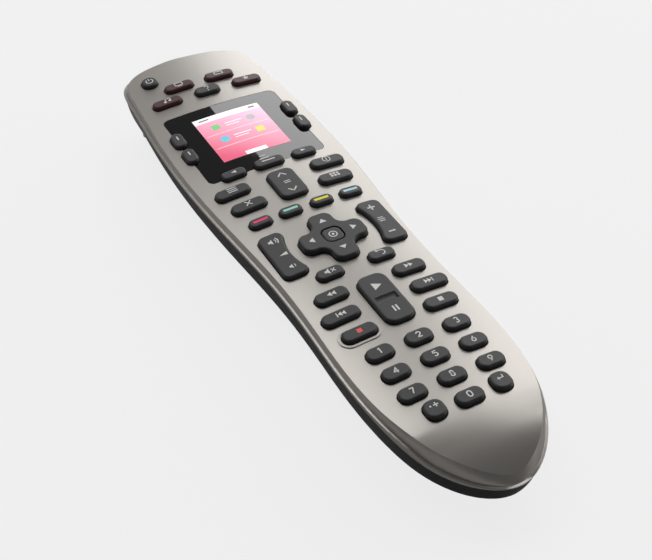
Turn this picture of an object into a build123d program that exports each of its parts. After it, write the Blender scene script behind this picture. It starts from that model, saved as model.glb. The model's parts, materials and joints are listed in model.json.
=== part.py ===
from build123d import *
import os
from math import asin, degrees

os.makedirs("parts", exist_ok=True)

# Handheld universal remote control, lying on its back: +Y is the infra-red end, +Z the key side.
# The origin is on the back, in the middle of the length and the width. Millimetres.

# Case
LENGTH = 240.0
WIDTH = 62.2
FACE_TOP = 25.5  # middle of the silver face, above the back
PARTING_DROP = 4.5  # from the middle of the face down to the silver shell's edge
CROSS_CROWN = 1.85  # drop of the face from its middle to its sides
TOP_WALL = 2.2
SIDE_WALL = 1.8
BACK_WALL = 2.0
LIP_WIDTH = 1.0
LIP_HEIGHT = 0.9
LIP_ROUND = 0.35
SHOULDER = 2.6  # how far the silver side draws in on its way up to the face
SEAM_GAP = 0.2
HULL_INSET = 0.5  # black shell's edge, inside the silver lip
HULL_SIDE = 18.0  # how far the back's flat lies inside the edge, sideways
OVERRUN = 5.0

# Half of the case's plan, from the far end round to the near end, in shares of half the width and length
HALF_PLAN_SHARES = (
    (0.0, 1.0), (0.40, 0.991), (0.70, 0.966), (0.835, 0.934), (0.896, 0.885), (0.915, 0.817),
    (0.961, 0.658), (1.0, 0.408), (0.951, 0.125), (0.868, -0.16), (0.863, -0.34), (0.885, -0.515),
    (0.852, -0.696), (0.797, -0.771), (0.701, -0.844), (0.502, -0.925), (0.25, -0.98), (0.0, -1.0),
)
# Depth of the back below the seam and its inset, in shares of the depth and of HULL_SIDE
HULL_PROFILE_SHARES = (
    (0.0, 0.0), (0.12, 0.01), (0.25, 0.035), (0.5, 0.14),
    (0.7, 0.30), (0.85, 0.50), (0.95, 0.72), (1.0, 0.94),
)
# Height of the silver side above the seam and its inset, in shares of the height and of SHOULDER
SHOULDER_SHARES = ((0.0, 0.0), (0.3, 0.02), (0.5, 0.16), (0.7, 0.42), (0.85, 0.7), (1.0, 1.05))

# Keys
KEY_RISE = 1.6
KEY_GAP = 0.35
KEY_ROUND = 0.85
KEY_TRAVEL = 0.8
FLANGE = 0.5
FLANGE_THICK = 0.6
FLANGE_GAP = 0.2
PLUNGER_WIDTH = 3.0
PLUNGER_GAP = 0.3
PRESS_GAP = 0.1  # left between a plunger and the board at the end of its travel
ROCK_SPACE = 0.6  # room above a rocking key's flange
PAD_SPACE = 0.75
RIB_THICK = 1.2  # rib that a rocking key rocks on
FULL_ROUND_SHARE = 0.499  # of a key's width, for a corner that is all but a half circle

POWER_X, POWER_Y, POWER_SIZE = 17.4, 105.6, 6.2
ACTIVITY_WIDTH, ACTIVITY_DEPTH = 11.8, 4.6
ACTIVITY_INNER_X, ACTIVITY_INNER_Y = 8.5, 97.2
ACTIVITY_OUTER_X, ACTIVITY_OUTER_Y = 16.7, 89.5
HELP_Y, HELP_WIDTH, HELP_DEPTH = 89.5, 10.1, 5.0
SIDE_KEY_X, SIDE_KEY_WIDTH, SIDE_KEY_DEPTH = 22.9, 4.8, 8.4
SIDE_UPPER_Y, SIDE_LOWER_Y = 64.9, 54.3
ARROW_X, ARROW_WIDTH, ARROW_DEPTH = 14.0, 9.3, 4.4
BARS_Y, BARS_WIDTH, BARS_DEPTH = 36.3, 11.3, 4.5
MENU_WIDTH, MENU_DEPTH = 13.0, 5.2
MENU_X, MENU_Y = 18.75, 27.4
EXIT_X, EXIT_Y = 17.0, 17.9
PAGE_Y, PAGE_WIDTH, PAGE_DEPTH, PAGE_CORNER = 22.2, 10.3, 15.8, 2.8
COLOUR_WIDTH, COLOUR_DEPTH = 8.4, 4.4
COLOUR_OUTER_X, COLOUR_INNER_X, COLOUR_Y = 17.5, 6.0, 8.0
PAD_Y, PAD_SPAN, PAD_LOBE, PAD_CORNER, PAD_WAIST = -11.0, 24.0, 9.0, 3.1, 3.5
PAD_LIFT = 0.4  # of the direction pad above the other keys
PIVOT_WIDTH, PIVOT_THICK = 2.2, 0.4  # ring that the direction pad tilts on
OK_SIZE, OK_CORNER, OK_LIFT, OK_ROUND = 6.9, 2.3, 0.35, 0.6
OK_SKIRT = 1.6  # how far its body reaches below the silver shell's wall
ROCKER_X, ROCKER_Y = 18.8, -10.9
ROCKER_WIDTH, ROCKER_DEPTH, ROCKER_CORNER, ROCKER_WAIST = 9.0, 22.5, 2.6, 1.7
MUTE_X, MUTE_Y, MUTE_WIDTH, MUTE_DEPTH = 9.6, -26.3, 9.5, 4.8
WIND_X, WIND_Y, WIND_WIDTH = 14.35, -35.8, 11.6
SKIP_X, SKIP_Y, SKIP_WIDTH = 16.2, -45.1, 13.1
RECORD_X, RECORD_Y, RECORD_WIDTH = 14.75, -54.3, 11.8
TRANSPORT_DEPTH = 5.2
PLAY_Y, PLAY_WIDTH, PLAY_DEPTH, PLAY_CORNER = -45.1, 10.6, 22.9, 3.6
DIMPLE_DEPTH, DIMPLE_WIDTH, DIMPLE_SPAN = 0.6, 3.2, 7.4
DIGIT_X, DIGIT_Y, DIGIT_PITCH = 13.75, -64.8, 9.25
DIGIT_WIDTH, DIGIT_DEPTH = 9.1, 5.5
CLEAR_X, CLEAR_Y, CLEAR_WIDTH, CLEAR_DEPTH, CLEAR_CORNER = 11.5, -91.8, 6.6, 7.0, 2.8
KEY_CORNER_SHARE = 0.46
RING_INNER, RING_OUTER, RING_RISE = 0.55, 1.35, 0.3

# Screen
LENS_WIDTH, LENS_DEPTH, LENS_Y, LENS_CORNER = 46.4, 43.8, 58.0, 2.4
LENS_THICK = 1.2
LENS_GAP = 0.15
WINDOW_WIDTH, WINDOW_DEPTH, WINDOW_Y = 32.5, 35.0, 59.6
LCD_GAP = 0.4
LCD_FRAME = 1.6
LCD_GLASS = 1.5
LCD_BEVEL = 0.3

# Inside
BOARD_THICK = 1.6
MAT_THICK = 0.9
BOARD_INSET = 3.0
STACK_DROP = 5.2  # from the middle of the face down to the top of the mat
BOSS_RADIUS = 3.2
TOP_BOSS_RADIUS = 2.1
SCREW_RADIUS = 1.0
SCREW_HEAD_RADIUS = 1.9
SCREW_HEAD_HEIGHT = 1.4
SCREW_BITE = 4.0
SCREW_CLEARANCE = 0.2
SCREW_SEAT = 9.0
SCREW_SLOT_LENGTH, SCREW_SLOT_WIDTH = 2.4, 0.5
FIT = 0.05
SCREW_PLACES = ((23.2, 98.0), (20.6, -27.6), (12.0, -99.5))

BATTERY_RADIUS = 7.15
BATTERY_LENGTH = 50.5
BATTERY_NUB_RADIUS, BATTERY_NUB, BATTERY_ROUND = 2.75, 1.2, 0.6
BATTERY_SPACING = 14.6
BATTERY_GAP = 0.4
BAY_Y = -64.0
BAY_LENGTH = 55.0
BAY_WIDTH = 29.9
BAY_WALL = 1.2
CONTACT_THICK = 0.4
CONTACT_WIDTH, CONTACT_HEIGHT = 9.0, 8.0
CONTACT_GAP = 0.15
CONTACT_TIP_SHARE = 0.7  # of the width of its foot
DOOR_WIDTH, DOOR_LENGTH, DOOR_CORNER = 33.6, 60.5, 3.0
DOOR_GAP = 0.25
DOOR_RISE = 0.3  # from the door's inside up to the bay's walls
DOOR_TAB_X, DOOR_TAB_WIDTH, DOOR_TAB_REACH, DOOR_TAB_THICK = 3.0, 3.0, 1.7, 1.1
DOOR_SWING_ROOM = 1.2
GRIP_RIBS, GRIP_WIDTH, GRIP_PITCH, GRIP_RISE = 4, 14.0, 2.2, 0.35
GRIP_RIB = 0.9

IR_X, IR_WIDTH, IR_HEIGHT, IR_DROP = -5.0, 18.0, 5.0, 2.6
IR_LED_RADIUS, IR_LED_LENGTH, IR_LED_PITCH = 1.5, 4.2, 6.0
USB_X, USB_WIDTH, USB_HEIGHT, USB_DEPTH, USB_WALL = 12.5, 7.7, 3.9, 9.0, 0.35
USB_TONGUE_WIDTH, USB_TONGUE_HEIGHT, USB_TONGUE_SET = 5.0, 1.0, 1.0

# Soldered parts, their places taken from the screen's middle
CHIP_SIZE, CHIP_THICK = 12.0, 1.4
MEMORY_X, MEMORY_Y, MEMORY_WIDTH, MEMORY_DEPTH, MEMORY_THICK = -14.0, -8.0, 6.0, 5.0, 1.2
CRYSTAL_X, CRYSTAL_Y, CRYSTAL_WIDTH, CRYSTAL_DEPTH, CRYSTAL_THICK = 12.0, 6.0, 3.2, 8.0, 2.2
CAPACITOR_X, CAPACITOR_Y, CAPACITOR_RADIUS, CAPACITOR_HEIGHT = 10.0, -59.6, 3.2, 5.5

# Worked out from the above
HALF_WIDTH = WIDTH / 2
HALF_LENGTH = LENGTH / 2
PARTING = FACE_TOP - PARTING_DROP
HULL_TOP = PARTING - SEAM_GAP
MAT_TOP = FACE_TOP - STACK_DROP
BOARD_TOP = MAT_TOP - MAT_THICK
BOARD_BOTTOM = BOARD_TOP - BOARD_THICK
PLUNGER_BOTTOM = BOARD_TOP + KEY_TRAVEL + PRESS_GAP
BATTERY_Z = BACK_WALL + BATTERY_GAP + BATTERY_RADIUS
BAY_ROOF = BATTERY_Z + BATTERY_RADIUS + CONTACT_GAP
DOOR_HINGE_Y = BAY_Y - DOOR_LENGTH / 2


def plan_points(inset):
    """Points round the case's plan, drawn in from the widest outline by an inset."""
    half = [(x * (HALF_WIDTH - inset), y * (HALF_LENGTH - inset)) for x, y in HALF_PLAN_SHARES]
    other = [(-x, y) for x, y in reversed(half[1:-1])]
    return half + other


def plan(inset, z):
    """Flat face of the case's plan at a height."""
    points = [(x, y, z) for x, y in plan_points(inset)]
    return Face(Wire(Edge.make_spline(points, periodic=True)))


def slab(inset, low, high):
    return extrude(plan(inset, low), amount=high - low, dir=(0, 0, 1))


def arc_radius(reach, drop):
    """Radius of the arc that drops this much at this reach from its middle."""
    return (reach ** 2 + drop ** 2) / (2 * drop)


CROWN_RADIUS = arc_radius(HALF_WIDTH, CROSS_CROWN)


def face_height(x, y):
    """Height of the silver face, which is crowned across."""
    return FACE_TOP - CROWN_RADIUS + (CROWN_RADIUS ** 2 - x ** 2) ** 0.5


def face_tilt(x):
    """Slope of the silver face across, in degrees."""
    return degrees(asin(x / CROWN_RADIUS))


def under_face(shift, depth):
    """Solid whose top is the silver face, moved by shift."""
    w = HALF_WIDTH + OVERRUN
    side = face_height(w, 0)
    arc = Edge.make_three_point_arc((-w, 0, side), (0, 0, FACE_TOP), (w, 0, side))
    low = FACE_TOP - depth
    rest = Wire.make_polygon([(w, 0, side), (w, 0, low), (-w, 0, low), (-w, 0, side)], close=False)
    section = Face(Wire([arc] + list(rest.edges())))
    reach = HALF_LENGTH + OVERRUN
    return Pos(0, reach, shift) * extrude(section, amount=2 * reach, dir=(0, -1, 0))


STAND = (Align.CENTER, Align.CENTER, Align.MIN)


def rounded(width, depth, corner):
    return RectangleRounded(width, depth, min(corner, width * FULL_ROUND_SHARE, depth * FULL_ROUND_SHARE))


def key_plan(width, depth, grow=0.0, corner=None):
    if corner is None:
        corner = KEY_CORNER_SHARE * min(width, depth)
    return rounded(width + 2 * grow, depth + 2 * grow, corner + grow)


def pad_plan(grow=0.0):
    """Four lobes with rounded ends and hollow waists."""
    bar = Rectangle(PAD_SPAN + 2 * grow, PAD_LOBE + 2 * grow)
    cross = bar + Rot(0, 0, 90) * bar
    tip = PAD_SPAN / 2 + grow - FIT
    tips = [v for v in cross.vertices() if max(abs(v.X), abs(v.Y)) > tip]
    cross = fillet(tips, PAD_CORNER + grow)
    waists = [v for v in cross.vertices() if max(abs(v.X), abs(v.Y)) < PAD_LOBE / 2 + grow + FIT]
    return fillet(waists, PAD_WAIST - grow)


def rocker_plan(side, grow=0.0):
    """Straight outer side, and an inner side hollowed round the direction pad. side is +1 or -1."""
    width, depth = ROCKER_WIDTH + 2 * grow, ROCKER_DEPTH + 2 * grow
    radius = arc_radius(ROCKER_DEPTH / 2 - ROCKER_CORNER, ROCKER_WAIST)
    hollow = Pos(-side * (ROCKER_WIDTH / 2 - ROCKER_WAIST + radius), 0) * Circle(radius - grow)
    return rounded(width, depth, ROCKER_CORNER + grow) - hollow


def lowest_face(x, y, width, depth):
    """Lowest height of the silver face over a key's outline."""
    spots = [(x + sx * width / 2, y + sy * depth / 2) for sx in (-1, 1) for sy in (-1, 1)]
    return min(face_height(px, py) for px, py in spots)


def key_solid(outline, x, y, width, depth, plungers, space=0.0, rise=KEY_RISE, grown=None):
    """Cap with rounded top edge, tilted with the face, a flange under the shell and its plungers."""
    surface = face_height(x, y)
    flange_top = lowest_face(x, y, width + 2 * FLANGE, depth + 2 * FLANGE) - TOP_WALL - FLANGE_GAP - space
    flange_bottom = flange_top - FLANGE_THICK
    cap = extrude(outline, amount=surface + rise - flange_top)
    cap = fillet(cap.faces().sort_by(Axis.Z)[-1].edges(), KEY_ROUND)
    middle = surface - flange_top
    cap = Pos(0, 0, middle) * Rot(0, face_tilt(x), 0) * Pos(0, 0, -middle) * cap
    solid = Pos(x, y, flange_top) * cap
    solid += Pos(x, y, flange_bottom) * extrude(grown, amount=FLANGE_THICK + FIT * 2)
    for px, py in plungers:
        plunger = Cylinder(PLUNGER_WIDTH / 2, flange_bottom + FIT - PLUNGER_BOTTOM, align=STAND)
        solid += Pos(x + px, y + py, PLUNGER_BOTTOM) * plunger
    return solid


def press_keys():
    """Name, place and size of each key that is pressed straight down."""
    wide = (MENU_WIDTH, MENU_DEPTH)
    activity = (ACTIVITY_WIDTH, ACTIVITY_DEPTH)
    side = (SIDE_KEY_WIDTH, SIDE_KEY_DEPTH)
    colour = (COLOUR_WIDTH, COLOUR_DEPTH)
    digit = (DIGIT_WIDTH, DIGIT_DEPTH)
    keys = [
        ("power_key", -POWER_X, POWER_Y, POWER_SIZE, POWER_SIZE),
        ("activity_key_inner_left", -ACTIVITY_INNER_X, ACTIVITY_INNER_Y, *activity),
        ("activity_key_inner_right", ACTIVITY_INNER_X, ACTIVITY_INNER_Y, *activity),
        ("activity_key_outer_left", -ACTIVITY_OUTER_X, ACTIVITY_OUTER_Y, *activity),
        ("activity_key_outer_right", ACTIVITY_OUTER_X, ACTIVITY_OUTER_Y, *activity),
        ("help_key", 0.0, HELP_Y, HELP_WIDTH, HELP_DEPTH),
        ("screen_key_upper_left", -SIDE_KEY_X, SIDE_UPPER_Y, *side),
        ("screen_key_lower_left", -SIDE_KEY_X, SIDE_LOWER_Y, *side),
        ("screen_key_upper_right", SIDE_KEY_X, SIDE_UPPER_Y, *side),
        ("screen_key_lower_right", SIDE_KEY_X, SIDE_LOWER_Y, *side),
        ("arrow_key_left", -ARROW_X, BARS_Y, ARROW_WIDTH, ARROW_DEPTH),
        ("bars_key", 0.0, BARS_Y, BARS_WIDTH, BARS_DEPTH),
        ("arrow_key_right", ARROW_X, BARS_Y, ARROW_WIDTH, ARROW_DEPTH),
        ("menu_key", -MENU_X, MENU_Y, *wide),
        ("info_key", MENU_X, MENU_Y, *wide),
        ("exit_key", -EXIT_X, EXIT_Y, *wide),
        ("guide_key", EXIT_X, EXIT_Y, *wide),
        ("red_key", -COLOUR_OUTER_X, COLOUR_Y, *colour),
        ("green_key", -COLOUR_INNER_X, COLOUR_Y, *colour),
        ("yellow_key", COLOUR_INNER_X, COLOUR_Y, *colour),
        ("blue_key", COLOUR_OUTER_X, COLOUR_Y, *colour),
        ("mute_key", -MUTE_X, MUTE_Y, MUTE_WIDTH, MUTE_DEPTH),
        ("back_key", MUTE_X, MUTE_Y, MUTE_WIDTH, MUTE_DEPTH),
        ("rewind_key", -WIND_X, WIND_Y, WIND_WIDTH, TRANSPORT_DEPTH),
        ("forward_key", WIND_X, WIND_Y, WIND_WIDTH, TRANSPORT_DEPTH),
        ("skip_back_key", -SKIP_X, SKIP_Y, SKIP_WIDTH, TRANSPORT_DEPTH),
        ("skip_forward_key", SKIP_X, SKIP_Y, SKIP_WIDTH, TRANSPORT_DEPTH),
        ("record_key", -RECORD_X, RECORD_Y, RECORD_WIDTH, TRANSPORT_DEPTH),
        ("stop_key", RECORD_X, RECORD_Y, RECORD_WIDTH, TRANSPORT_DEPTH),
    ]
    for number in range(1, 10):
        row, column = divmod(number - 1, 3)
        x = (column - 1) * DIGIT_X
        keys.append((f"digit_{number}_key", x, DIGIT_Y - row * DIGIT_PITCH, *digit))
    keys.append(("digit_0_key", 0.0, DIGIT_Y - 3 * DIGIT_PITCH, *digit))
    keys.append(("clear_key", -CLEAR_X, CLEAR_Y, CLEAR_WIDTH, CLEAR_DEPTH))
    keys.append(("enter_key", CLEAR_X, CLEAR_Y, CLEAR_WIDTH, CLEAR_DEPTH))
    return keys


def press_corner(name):
    if name in ("clear_key", "enter_key"):
        return CLEAR_CORNER
    return None


def openings(grow):
    """Every key's outline, grown, as one list of placed flat shapes with their names."""
    shapes = []
    for name, x, y, width, depth in press_keys():
        shapes.append((name, Pos(x, y) * key_plan(width, depth, grow, press_corner(name))))
    shapes.append(("page_rocker", Pos(0, PAGE_Y) * key_plan(PAGE_WIDTH, PAGE_DEPTH, grow, PAGE_CORNER)))
    shapes.append(("play_rocker", Pos(0, PLAY_Y) * key_plan(PLAY_WIDTH, PLAY_DEPTH, grow, PLAY_CORNER)))
    shapes.append(("direction_pad", Pos(0, PAD_Y) * pad_plan(grow)))
    shapes.append(("volume_rocker", Pos(-ROCKER_X, ROCKER_Y) * rocker_plan(-1, grow)))
    shapes.append(("channel_rocker", Pos(ROCKER_X, ROCKER_Y) * rocker_plan(1, grow)))
    return shapes


def save(shape, node):
    export_step(shape, f"parts/{node}.step")


def plunger_places():
    """Where each key's plungers stand, by key."""
    places = {name: [(0.0, 0.0)] for name, *rest in press_keys()}
    page = PAGE_DEPTH / 2 - PLUNGER_WIDTH
    play = PLAY_DEPTH / 2 - PLUNGER_WIDTH
    rocker = ROCKER_DEPTH / 2 - PLUNGER_WIDTH
    arm = PAD_SPAN / 2 - PLUNGER_WIDTH
    places["page_rocker"] = [(0.0, page), (0.0, -page)]
    places["play_rocker"] = [(0.0, play), (0.0, -play)]
    places["volume_rocker"] = [(0.0, rocker), (0.0, -rocker)]
    places["channel_rocker"] = [(0.0, rocker), (0.0, -rocker)]
    places["direction_pad"] = [(arm, 0.0), (-arm, 0.0), (0.0, arm), (0.0, -arm)]
    places["ok_key"] = [(0.0, 0.0)]
    return places


def key_centres():
    centres = {name: (x, y) for name, x, y, width, depth in press_keys()}
    centres["page_rocker"] = (0.0, PAGE_Y)
    centres["play_rocker"] = (0.0, PLAY_Y)
    centres["volume_rocker"] = (-ROCKER_X, ROCKER_Y)
    centres["channel_rocker"] = (ROCKER_X, ROCKER_Y)
    centres["direction_pad"] = (0.0, PAD_Y)
    centres["ok_key"] = (0.0, PAD_Y)
    return centres


def make_press_keys():
    for name, x, y, width, depth in press_keys():
        corner = press_corner(name)
        outline = key_plan(width, depth, 0.0, corner)
        grown = key_plan(width, depth, FLANGE, corner)
        save(key_solid(outline, x, y, width, depth, [(0.0, 0.0)], grown=grown), name)


def rocker_rib(x, y, width, low, high):
    """Rib across the middle of a rocking key, which it rocks on."""
    rib = Box(width, RIB_THICK, high - low, align=STAND)
    return Pos(x, y, low) * rib


def make_rockers():
    places = plunger_places()
    rows = [
        ("page_rocker", 0.0, PAGE_Y, PAGE_WIDTH, PAGE_DEPTH,
         key_plan(PAGE_WIDTH, PAGE_DEPTH, 0.0, PAGE_CORNER),
         key_plan(PAGE_WIDTH, PAGE_DEPTH, FLANGE, PAGE_CORNER)),
        ("play_rocker", 0.0, PLAY_Y, PLAY_WIDTH, PLAY_DEPTH,
         key_plan(PLAY_WIDTH, PLAY_DEPTH, 0.0, PLAY_CORNER),
         key_plan(PLAY_WIDTH, PLAY_DEPTH, FLANGE, PLAY_CORNER)),
        ("volume_rocker", -ROCKER_X, ROCKER_Y, ROCKER_WIDTH, ROCKER_DEPTH,
         rocker_plan(-1), rocker_plan(-1, FLANGE)),
        ("channel_rocker", ROCKER_X, ROCKER_Y, ROCKER_WIDTH, ROCKER_DEPTH,
         rocker_plan(1), rocker_plan(1, FLANGE)),
    ]
    for name, x, y, width, depth, outline, grown in rows:
        solid = key_solid(outline, x, y, width, depth, places[name], ROCK_SPACE, grown=grown)
        rib_top = lowest_face(x, y, width + 2 * FLANGE, depth + 2 * FLANGE) - TOP_WALL - FLANGE_GAP
        rib_top -= ROCK_SPACE + FLANGE_THICK - FIT
        solid += rocker_rib(x, y, width / 2, MAT_TOP + FIT, rib_top)
        if name == "play_rocker":
            radius = (DIMPLE_WIDTH ** 2 / 4 + DIMPLE_DEPTH ** 2) / (2 * DIMPLE_DEPTH)
            top = face_height(x, y) + KEY_RISE
            groove = Rot(0, 90, 0) * Cylinder(radius, DIMPLE_SPAN)
            groove = Pos(x, y - DIMPLE_WIDTH / 4, top + radius - DIMPLE_DEPTH) * groove
            solid -= groove
        save(solid, name)


def make_pad():
    inner = OK_SIZE / 2 + 2 * KEY_GAP
    ring = Cylinder(inner + PIVOT_WIDTH, PIVOT_THICK, align=STAND)
    ring -= Cylinder(inner, PIVOT_THICK, align=STAND)
    save(Pos(0, PAD_Y, MAT_TOP + KEY_GAP) * ring, "pad_pivot_ring")
    pad = key_solid(pad_plan(), 0.0, PAD_Y, PAD_SPAN, PAD_SPAN, plunger_places()["direction_pad"],
                    PAD_SPACE, rise=KEY_RISE + PAD_LIFT, grown=pad_plan(FLANGE))
    hole = extrude(key_plan(OK_SIZE, OK_SIZE, KEY_GAP, OK_CORNER), amount=2 * FACE_TOP)
    pad -= Pos(0, PAD_Y, 0) * hole
    save(pad, "direction_pad")
    low = face_height(0.0, PAD_Y) - TOP_WALL - OK_SKIRT
    high = face_height(0.0, PAD_Y) + KEY_RISE + OK_LIFT
    ok = extrude(key_plan(OK_SIZE, OK_SIZE, 0.0, OK_CORNER), amount=high - low)
    ok = Pos(0, PAD_Y, low) * fillet(ok.faces().sort_by(Axis.Z)[-1].edges(), OK_ROUND)
    stem = Cylinder(PLUNGER_WIDTH / 2, low + FIT - PLUNGER_BOTTOM, align=STAND)
    ok += Pos(0, PAD_Y, PLUNGER_BOTTOM) * stem
    save(ok, "ok_key")


def tilted(shape, x, y, height):
    """Shape made about the origin, moved to a place on the face and tilted as the face is there."""
    return Pos(x, y, height) * Rot(0, face_tilt(x), 0) * shape


def record_ring():
    """Low raised ring round the record key."""
    flat = key_plan(RECORD_WIDTH, TRANSPORT_DEPTH, RING_OUTER)
    flat -= key_plan(RECORD_WIDTH, TRANSPORT_DEPTH, RING_INNER)
    ring = extrude(flat, amount=RING_RISE + TOP_WALL / 2)
    return tilted(ring, -RECORD_X, RECORD_Y, face_height(RECORD_X, RECORD_Y) - TOP_WALL / 2)


def top_bosses():
    """Bosses that reach down through the mat and the board to the back's bosses."""
    bosses = []
    pilot = Cylinder(SCREW_RADIUS + FIT, SCREW_BITE, align=STAND)
    for x, y in boss_places():
        height = face_height(x, y) - TOP_WALL + FLANGE_THICK - BOARD_BOTTOM
        boss = Cylinder(TOP_BOSS_RADIUS, height, align=STAND)
        bosses.append(Pos(x, y, BOARD_BOTTOM) * (boss - pilot))
    return bosses


def make_top_shell():
    height = FACE_TOP + LIP_HEIGHT - PARTING
    sides = [plan(LIP_WIDTH + side * SHOULDER, PARTING + up * height) for up, side in SHOULDER_SHARES]
    blank = loft(sides) & under_face(0, FACE_TOP)
    inner = slab(LIP_WIDTH + SIDE_WALL, PARTING, FACE_TOP + OVERRUN) & under_face(-TOP_WALL, FACE_TOP)
    body = blank - inner
    holes = [shape for name, shape in openings(KEY_GAP)]
    holes.append(Pos(0, WINDOW_Y) * key_plan(WINDOW_WIDTH, WINDOW_DEPTH, 0.0, LENS_CORNER))
    tools = [extrude(Pos(0, 0, PARTING - OVERRUN) * hole, amount=FACE_TOP) for hole in holes]
    body = body.cut(*[tool.solid() for tool in tools])
    pocket = extrude(key_plan(LENS_WIDTH, LENS_DEPTH, LENS_GAP, LENS_CORNER), amount=FACE_TOP)
    body -= (Pos(0, LENS_Y, PARTING) * pocket) - under_face(-LENS_THICK - LENS_GAP, FACE_TOP)
    body += [record_ring()] + top_bosses()
    lip = slab(0, PARTING, PARTING + LIP_HEIGHT)
    lip = fillet(lip.faces().sort_by(Axis.Z)[-1].edges(), LIP_ROUND)
    lip -= slab(LIP_WIDTH + SIDE_WALL / 2, PARTING - OVERRUN, FACE_TOP)
    body += lip
    save(body, "top_shell")


def make_lens():
    blank = extrude(key_plan(LENS_WIDTH, LENS_DEPTH, 0.0, LENS_CORNER), amount=FACE_TOP)
    lens = (Pos(0, LENS_Y, PARTING) * blank) & under_face(-FIT, LENS_THICK)
    beside = ("screen_key", "arrow_key", "bars_key")
    near = [shape for name, shape in openings(KEY_GAP) if name.startswith(beside)]
    lens -= [extrude(Pos(0, 0, PARTING) * shape, amount=FACE_TOP) for shape in near]
    save(lens, "screen_lens")


def hull(inset, wall):
    """Solid inside the black shell's outer side, or inside its wall."""
    depth = HULL_TOP - wall
    faces = []
    for down, side in HULL_PROFILE_SHARES:
        faces.append(plan(inset + wall + side * HULL_SIDE, HULL_TOP - down * depth))
    return loft(faces)


def boss_places():
    return [(side * x, y) for x, y in SCREW_PLACES for side in (-1, 1)]


def make_back():
    outer = hull(HULL_INSET, 0.0)
    inner = hull(HULL_INSET, BACK_WALL)
    shell = outer - inner
    bosses = [Pos(x, y, 0) * Cylinder(BOSS_RADIUS, BOARD_BOTTOM, align=STAND) for x, y in boss_places()]
    inside = hull(HULL_INSET, BACK_WALL / 2)
    shell += (bay() + bosses) & inside
    cuts = [Pos(0, BAY_Y, -OVERRUN) * door_block(DOOR_GAP, OVERRUN + BACK_WALL)]
    for x, y in boss_places():
        head = Cylinder(SCREW_HEAD_RADIUS + SCREW_CLEARANCE, SCREW_SEAT, align=STAND)
        shank = Cylinder(SCREW_RADIUS + SCREW_CLEARANCE, FACE_TOP, align=STAND)
        cuts.append(Pos(x, y, 0) * (head + shank))
    shell -= cuts + far_end_cuts()
    return shell, outer, inner


def door_block(grow, height):
    """Block of the door's outline from the back up."""
    return extrude(key_plan(DOOR_WIDTH, DOOR_LENGTH, grow, DOOR_CORNER), amount=height)


def bay():
    """Battery bay: two end walls across the hull, two sides and a roof, all clear of the door."""
    half = BAY_LENGTH / 2 + BAY_WALL
    high = BOARD_BOTTOM - FIT
    block = Box(BAY_WIDTH + 2 * BAY_WALL, 2 * half, high, align=STAND)
    ends = Box(WIDTH, 2 * half, high, align=STAND) - Box(WIDTH, BAY_LENGTH, high, align=STAND)
    walls = block + ends - Box(BAY_WIDTH, BAY_LENGTH, BAY_ROOF, align=STAND)
    walls -= door_block(DOOR_GAP, BACK_WALL + DOOR_RISE)
    notch_high = BACK_WALL + DOOR_TAB_THICK + DOOR_SWING_ROOM
    notch = Box(DOOR_TAB_WIDTH + 2 * DOOR_GAP, 4 * BAY_WALL + DOOR_TAB_REACH, notch_high, align=STAND)
    walls -= [Pos(side * DOOR_TAB_X, -half, 0) * notch for side in (-1, 1)]
    return Pos(0, BAY_Y, 0) * walls


def make_door(outer):
    panel = Pos(0, BAY_Y, 0) * door_block(0.0, BACK_WALL)
    door = panel & outer
    tab_y = DOOR_HINGE_Y - DOOR_TAB_REACH
    base = BACK_WALL + 2 * DOOR_GAP
    corner = (Align.CENTER, Align.MIN, Align.MIN)
    for side in (-1, 1):
        tab = Box(DOOR_TAB_WIDTH, DOOR_TAB_REACH + BAY_WALL, DOOR_TAB_THICK, align=corner)
        door += Pos(side * DOOR_TAB_X, tab_y, base) * tab
        neck = Box(DOOR_TAB_WIDTH, BAY_WALL, 2 * DOOR_GAP + 2 * FIT, align=corner)
        door += Pos(side * DOOR_TAB_X, DOOR_HINGE_Y, BACK_WALL - FIT) * neck
    ribs = []
    for i in range(GRIP_RIBS):
        rib = Box(GRIP_WIDTH, GRIP_RIB, GRIP_RISE, align=STAND)
        ribs.append(Pos(0, BAY_Y + DOOR_LENGTH / 2 - (i + 2) * GRIP_PITCH, 0) * rib)
    door -= ribs
    save(door, "battery_door")


def far_end_cuts():
    """Openings in the far end of the black shell for the infra-red window and the socket."""
    window = Box(IR_WIDTH + 2 * LENS_GAP, 4 * OVERRUN, IR_HEIGHT + 2 * LENS_GAP)
    window = Pos(IR_X, HALF_LENGTH, HULL_TOP - IR_DROP - IR_HEIGHT / 2) * window
    socket = Box(USB_WIDTH + 2 * LENS_GAP, 4 * OVERRUN, USB_HEIGHT + 2 * LENS_GAP)
    socket = Pos(USB_X, HALF_LENGTH, BOARD_BOTTOM - USB_HEIGHT / 2) * socket
    return [window, socket]


def make_ir_window(outer, inner):
    block = Box(IR_WIDTH, 4 * OVERRUN, IR_HEIGHT)
    block = Pos(IR_X, HALF_LENGTH, HULL_TOP - IR_DROP - IR_HEIGHT / 2) * block
    save((outer - inner) & block, "ir_window")


def make_socket(outer):
    """Small metal socket shell with its tongue, under the far edge of the board."""
    wall_y = HALF_LENGTH - HULL_INSET - BACK_WALL
    low = (Align.CENTER, Align.MAX, Align.CENTER)
    body = Box(USB_WIDTH, USB_DEPTH, USB_HEIGHT, align=low)
    hollow = Box(USB_WIDTH - 2 * USB_WALL, USB_DEPTH - 2 * USB_WALL, USB_HEIGHT - 2 * USB_WALL, align=low)
    tongue = Box(USB_TONGUE_WIDTH, USB_DEPTH - USB_TONGUE_SET, USB_TONGUE_HEIGHT, align=low)
    socket = body - hollow + Pos(0, -USB_TONGUE_SET, 0) * tongue
    socket = Pos(USB_X, wall_y, BOARD_BOTTOM - USB_HEIGHT / 2) * socket
    save(socket, "usb_socket")


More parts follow.
